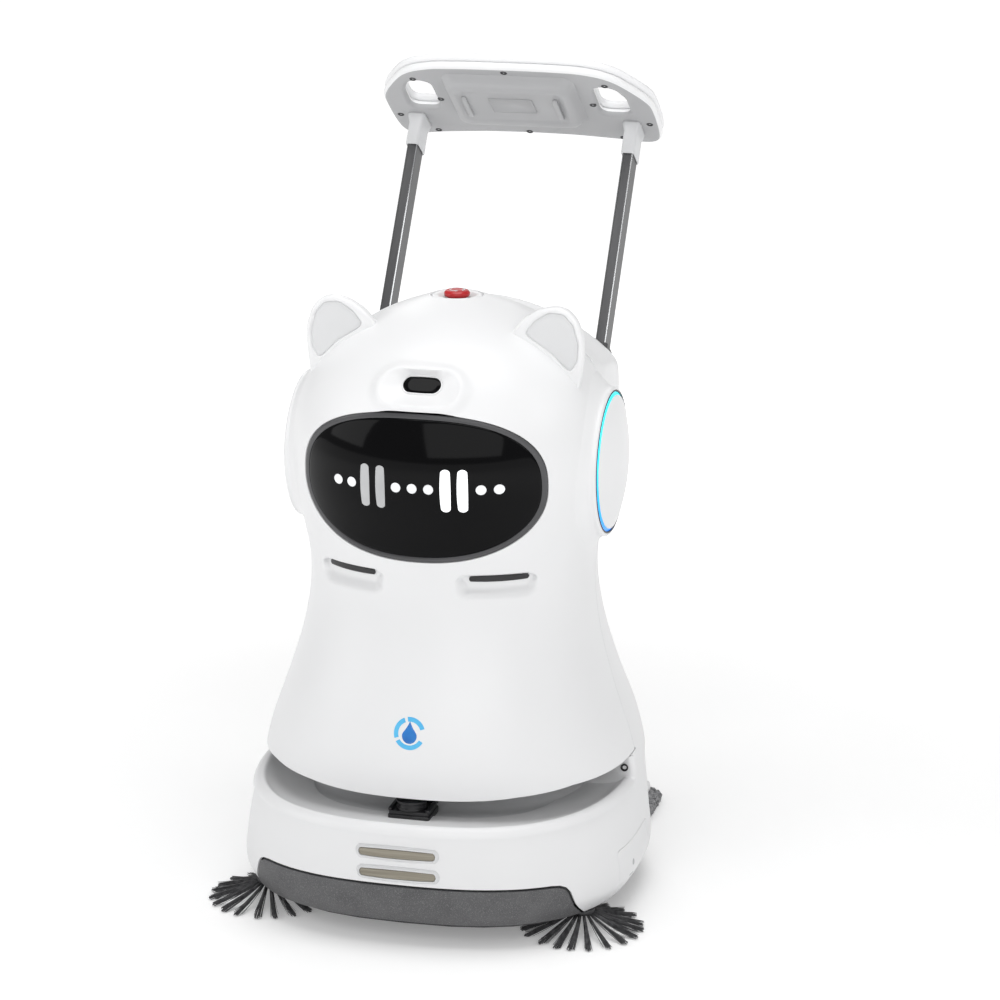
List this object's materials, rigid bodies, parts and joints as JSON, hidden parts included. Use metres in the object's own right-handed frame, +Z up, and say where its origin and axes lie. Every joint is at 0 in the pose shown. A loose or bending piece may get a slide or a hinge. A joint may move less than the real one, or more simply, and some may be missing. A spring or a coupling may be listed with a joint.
{
  "type": "robotic floor cleaner",
  "caption": "Upright robotic floor cleaner: domed body with face display and ears, low base with bumper, side brushes, rear mop and telescopic push handle.",
  "frame": {"origin": "on the floor, under the middle of the machine's overall box", "axes": "+Z up, -Y the machine's front, +X the machine's left"},
  "size_m": [0.556, 0.6794, 1.007],
  "materials": {
    "shell_white": "glossy moulded",
    "pale_plastic": "satin moulded",
    "dark_plastic": "fine texture",
    "black_plastic": "semi-gloss",
    "bezel_grey": "satin chamfered rim",
    "screen_black": "glass-smooth tinted window",
    "ring_dark": "satin",
    "light_cyan": "diffusing lit ring",
    "bumper_rubber": "fine speckled grain",
    "contact_metal": "plated, brushed lengthwise",
    "estop_red": "gloss",
    "tube_aluminium": "anodised satin",
    "key_metal": "satin",
    "plated_steel": "zinc plated",
    "motor_steel": "machined can",
    "tyre_rubber": "ribbed tread",
    "rim_plastic": "moulded",
    "bristle_nylon": "loose nylon tufts",
    "roller_fibre": "short pile",
    "mop_yarn": "looped microfibre yarn",
    "battery_case": "moulded",
    "bin_plastic": "smooth moulded",
    "circuit_board": "solder resist"
  },
  "bodies": {
    "machine": {"main_shell": "shell_white", "front_shell": "shell_white", "chassis_tray": "dark_plastic", "suction_hood": "dark_plastic", "battery_pack": "battery_case", "dust_bin": "bin_plastic", "vacuum_fan": "dark_plastic", "water_tank": "bin_plastic", "control_board": "circuit_board", "charge_contact_upper": "contact_metal", "charge_contact_lower": "contact_metal", "lidar_body": "black_plastic", "face_bezel": "bezel_grey", "face_screen": "screen_black", "camera_bezel": "shell_white", "camera_window": "screen_black", "estop_collar": "shell_white", "drive_motor_left": "motor_steel", "brush_motor_left": "motor_steel", "slot_window_left": "screen_black", "ear_left": "shell_white", "ear_insert_left": "pale_plastic", "side_pod_left": "shell_white", "side_ring_left": "ring_dark", "light_ring_left": "light_cyan", "side_cap_left": "shell_white", "tube_guide_left": "dark_plastic", "drive_motor_right": "motor_steel", "brush_motor_right": "motor_steel", "slot_window_right": "screen_black", "ear_right": "shell_white", "ear_insert_right": "pale_plastic", "side_pod_right": "shell_white", "side_ring_right": "ring_dark", "light_ring_right": "light_cyan", "side_cap_right": "shell_white", "tube_guide_right": "dark_plastic"},
    "bumper": {"front_bumper": "bumper_rubber"},
    "door": {"service_door": "shell_white"},
    "estop": {"estop_button": "estop_red"},
    "lidar": {"lidar_turret": "black_plastic"},
    "brush_left": {"side_brush_left": "bristle_nylon"},
    "brush_right": {"side_brush_right": "bristle_nylon"},
    "roller": {"roller_brush": "roller_fibre"},
    "wheel_left": {"drive_tyre_left": "tyre_rubber", "drive_rim_left": "rim_plastic"},
    "wheel_right": {"drive_tyre_right": "tyre_rubber", "drive_rim_right": "rim_plastic"},
    "caster": {"caster_fork": "plated_steel"},
    "caster_roller": {"caster_wheel": "tyre_rubber"},
    "mop": {"mop_holder": "pale_plastic", "mop_pad": "mop_yarn"},
    "handle": {"handle_under_shell": "pale_plastic", "handle_top_shell": "shell_white", "control_display": "screen_black", "handle_tube_left": "tube_aluminium", "handle_tube_right": "tube_aluminium", "handle_socket_left": "pale_plastic", "handle_socket_right": "pale_plastic"},
    "power_key": {"power_button": "key_metal"}
  },
  "joints": [
    {"name": "bumper_press", "type": "slide", "parent": "machine", "child": "bumper", "axis": [0, 1, 0], "range_m": [0, 0.006], "stiffness_N_per_m": 700},
    {"name": "door_swing", "type": "hinge", "parent": "machine", "child": "door", "pos_m": [0.2465, -0.0615, 0.06], "axis": [0, 0, 1], "range_deg": [0, 100]},
    {"name": "estop_press", "type": "slide", "parent": "machine", "child": "estop", "axis": [0, 0, -1], "range_m": [0, 0.004], "stiffness_N_per_m": 900},
    {"name": "lidar_spin", "type": "hinge", "parent": "machine", "child": "lidar", "pos_m": [0, -0.271, 0.163], "axis": [0, 0, 1], "continuous": true},
    {"name": "side_brush_left_spin", "type": "hinge", "parent": "machine", "child": "brush_left", "pos_m": [0.2, -0.22, 0.03], "axis": [0, 0, 1], "continuous": true},
    {"name": "side_brush_right_spin", "type": "hinge", "parent": "machine", "child": "brush_right", "pos_m": [-0.2, -0.22, 0.03], "axis": [0, 0, 1], "continuous": true},
    {"name": "roller_spin", "type": "hinge", "parent": "machine", "child": "roller", "pos_m": [0, -0.112, 0.035], "axis": [1, 0, 0], "continuous": true},
    {"name": "wheel_left_spin", "type": "hinge", "parent": "machine", "child": "wheel_left", "pos_m": [0.177, 0, 0.062], "axis": [1, 0, 0], "continuous": true},
    {"name": "wheel_right_spin", "type": "hinge", "parent": "machine", "child": "wheel_right", "pos_m": [-0.177, 0, 0.062], "axis": [1, 0, 0], "continuous": true},
    {"name": "caster_swivel", "type": "hinge", "parent": "machine", "child": "caster", "pos_m": [0, -0.215, 0.06], "axis": [0, 0, 1], "continuous": true},
    {"name": "caster_roll", "type": "hinge", "parent": "caster", "child": "caster_roller", "pos_m": [0, -0.197, 0.025], "axis": [1, 0, 0], "continuous": true},
    {"name": "mop_lift", "type": "slide", "parent": "machine", "child": "mop", "axis": [0, 0, 1], "range_m": [0, 0.012]},
    {"name": "handle_slide", "type": "slide", "parent": "machine", "child": "handle", "axis": [0, -0.5736, -0.8191], "range_m": [0, 0.2]},
    {"name": "power_press", "type": "slide", "parent": "handle", "child": "power_key", "axis": [0, -0.5736, -0.8191], "range_m": [0, 0.001], "stiffness_N_per_m": 1200}
  ]
}
